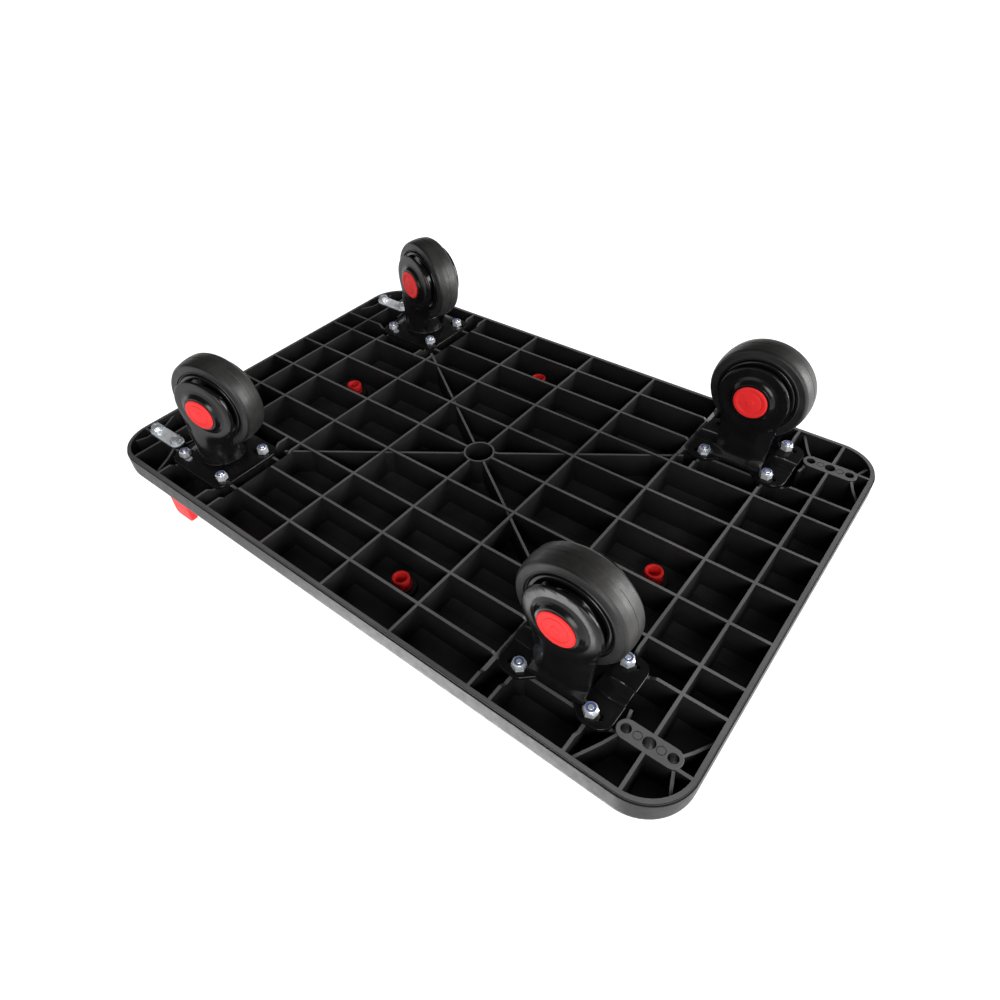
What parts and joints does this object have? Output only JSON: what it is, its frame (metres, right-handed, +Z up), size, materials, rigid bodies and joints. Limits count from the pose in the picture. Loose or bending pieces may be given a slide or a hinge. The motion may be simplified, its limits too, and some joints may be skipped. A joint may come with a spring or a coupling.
{
  "type": "platform trolley",
  "caption": "Flat platform trolley with a ribbed plastic deck, swivel and rigid casters, and a push handle that folds down over the deck.",
  "frame": {"origin": "on the floor, under the middle of the deck", "axes": "+X away from the handle's hinges, along the deck's length; +Y to the left seen from the hinge end; +Z up"},
  "size_m": [0.894, 0.599, 0.3068],
  "materials": {
    "deck_plastic": "black moulded plastic, satin",
    "red_plastic": "red moulded plastic, semi-gloss",
    "black_steel": "black painted pressed steel, gloss",
    "handle_steel": "black painted steel tube, satin",
    "zinc_steel": "bright zinc-plated steel",
    "tyre_rubber": "dark grey solid rubber, slightly dusty",
    "wheel_plastic": "black moulded plastic, gloss"
  },
  "bodies": {
    "chassis": {"deck": "deck_plastic", "deck_plug_1": "red_plastic", "deck_plug_2": "red_plastic", "deck_plug_3": "red_plastic", "deck_plug_4": "red_plastic", "rear_left_mounting_plate": "black_steel", "rear_left_kingpin": "zinc_steel", "rear_left_bolt_1": "zinc_steel", "rear_left_bolt_2": "zinc_steel", "rear_left_bolt_3": "zinc_steel", "rear_left_bolt_4": "zinc_steel", "rear_right_mounting_plate": "black_steel", "rear_right_kingpin": "zinc_steel", "rear_right_bolt_1": "zinc_steel", "rear_right_bolt_2": "zinc_steel", "rear_right_bolt_3": "zinc_steel", "rear_right_bolt_4": "zinc_steel", "front_left_fork": "black_steel", "front_left_axle": "zinc_steel", "front_left_cap_left": "red_plastic", "front_left_cap_right": "red_plastic", "front_left_bolt_1": "zinc_steel", "front_left_bolt_2": "zinc_steel", "front_left_bolt_3": "zinc_steel", "front_left_bolt_4": "zinc_steel", "front_right_fork": "black_steel", "front_right_axle": "zinc_steel", "front_right_cap_left": "red_plastic", "front_right_cap_right": "red_plastic", "front_right_bolt_1": "zinc_steel", "front_right_bolt_2": "zinc_steel", "front_right_bolt_3": "zinc_steel", "front_right_bolt_4": "zinc_steel", "left_strap": "zinc_steel", "left_strap_bolt_1": "zinc_steel", "left_strap_bolt_2": "zinc_steel", "left_handle_bracket": "red_plastic", "left_pivot_pin": "zinc_steel", "right_strap": "zinc_steel", "right_strap_bolt_1": "zinc_steel", "right_strap_bolt_2": "zinc_steel", "right_handle_bracket": "red_plastic", "right_pivot_pin": "zinc_steel"},
    "handle": {"handle_tube": "handle_steel"},
    "rear_left_swivel": {"rear_left_fork": "black_steel", "rear_left_axle": "zinc_steel", "rear_left_cap_left": "red_plastic", "rear_left_cap_right": "red_plastic"},
    "rear_right_swivel": {"rear_right_fork": "black_steel", "rear_right_axle": "zinc_steel", "rear_right_cap_left": "red_plastic", "rear_right_cap_right": "red_plastic"},
    "rear_left_wheel": {"rear_left_wheel_core": "wheel_plastic", "rear_left_tyre": "tyre_rubber"},
    "rear_right_wheel": {"rear_right_wheel_core": "wheel_plastic", "rear_right_tyre": "tyre_rubber"},
    "front_left_wheel": {"front_left_wheel_core": "wheel_plastic", "front_left_tyre": "tyre_rubber"},
    "front_right_wheel": {"front_right_wheel_core": "wheel_plastic", "front_right_tyre": "tyre_rubber"}
  },
  "joints": [
    {"name": "rear_left_swivel_turn", "type": "hinge", "parent": "chassis", "child": "rear_left_swivel", "pos_m": [-0.291, 0.213, 0.15], "axis": [0, 0, 1], "continuous": true},
    {"name": "rear_right_swivel_turn", "type": "hinge", "parent": "chassis", "child": "rear_right_swivel", "pos_m": [-0.291, -0.213, 0.15], "axis": [0, 0, 1], "continuous": true},
    {"name": "rear_left_wheel_spin", "type": "hinge", "parent": "rear_left_swivel", "child": "rear_left_wheel", "pos_m": [-0.26529, 0.20659, 0.0625], "axis": [0.2419, 0.9703, 0], "continuous": true},
    {"name": "rear_right_wheel_spin", "type": "hinge", "parent": "rear_right_swivel", "child": "rear_right_wheel", "pos_m": [-0.26529, -0.20659, 0.0625], "axis": [-0.2419, 0.9703, 0], "continuous": true},
    {"name": "front_left_wheel_spin", "type": "hinge", "parent": "chassis", "child": "front_left_wheel", "pos_m": [0.291, 0.21, 0.0625], "axis": [0, 1, 0], "continuous": true},
    {"name": "front_right_wheel_spin", "type": "hinge", "parent": "chassis", "child": "front_right_wheel", "pos_m": [0.291, -0.21, 0.0625], "axis": [0, 1, 0], "continuous": true},
    {"name": "handle_fold", "type": "hinge", "parent": "chassis", "child": "handle", "pos_m": [-0.3936, 0, 0.2828], "axis": [0, -1, 0], "range_deg": [0, 90]}
  ]
}
